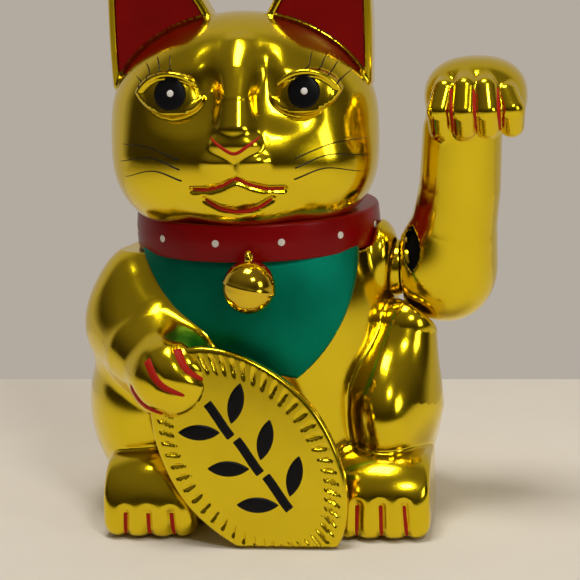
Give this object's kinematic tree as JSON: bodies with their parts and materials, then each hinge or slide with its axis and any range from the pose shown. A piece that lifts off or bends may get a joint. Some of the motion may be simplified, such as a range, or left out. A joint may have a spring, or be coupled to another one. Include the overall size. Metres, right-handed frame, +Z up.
{
  "type": "beckoning cat figurine",
  "caption": "Seated metallic plastic cat with a raised waving arm on a pendulum, a bib, collar and bell, and a long oval coin held against its belly.",
  "frame": {"origin": "middle of the base on the resting plane, under the axis of the body", "axes": "+Z up, the cat faces -Y, its raised left arm is on the +X side"},
  "size_m": [0.1468, 0.1071, 0.195],
  "materials": {
    "gold_shell": "vacuum-metallised gold",
    "bell_gold": "vacuum-metallised gold",
    "ear_red": "glossy",
    "bib_green": "satin metallic",
    "collar_red": "glossy",
    "ornament_black": "printed relief",
    "steel": "turned",
    "magnet": "sintered",
    "white_plastic": "moulded",
    "base_plastic": "moulded",
    "foam": "foam",
    "board_green": "solder mask",
    "copper": "enamelled",
    "black_plastic": "moulded",
    "sleeve_blue": "sleeved",
    "cell_jacket": "printed jacket, plain",
    "contact_metal": "nickel plated",
    "lead_red": "insulated wire",
    "lead_black": "insulated wire"
  },
  "bodies": {
    "figure": {"head_front_shell": "gold_shell", "head_rear_shell": "gold_shell", "body_front_shell": "gold_shell", "body_rear_shell": "gold_shell", "coin": "gold_shell", "shoulder_bush": "gold_shell", "bell": "bell_gold", "left_ear_panel": "ear_red", "right_ear_panel": "ear_red", "bib": "bib_green", "collar": "collar_red", "coin_ornament": "ornament_black", "base_screws": "steel", "bearing_bracket": "white_plastic", "coil_bobbin": "white_plastic", "base_plate": "base_plastic", "foam_pads": "foam", "circuit_board": "board_green", "coil_winding": "copper", "transistor": "black_plastic", "capacitor": "sleeve_blue", "battery_cell": "cell_jacket", "contact_spring": "contact_metal", "contact_plate": "contact_metal", "red_lead": "lead_red", "black_lead": "lead_black"},
    "arm": {"arm_inner_shell": "gold_shell", "arm_outer_shell": "gold_shell", "pivot_shaft": "steel", "pendulum_lever": "white_plastic", "pendulum_weight": "steel", "pendulum_magnet": "magnet"},
    "door": {"battery_door": "base_plastic"}
  },
  "joints": [
    {"name": "arm_swing", "type": "hinge", "parent": "figure", "child": "arm", "pos_m": [0.05, -0.008, 0.079], "axis": [1, 0, 0], "range_deg": [-15, 15]},
    {"name": "battery_door_lift", "type": "slide", "parent": "figure", "child": "door", "axis": [0, 0, -1], "range_m": [0, 0.02]}
  ]
}
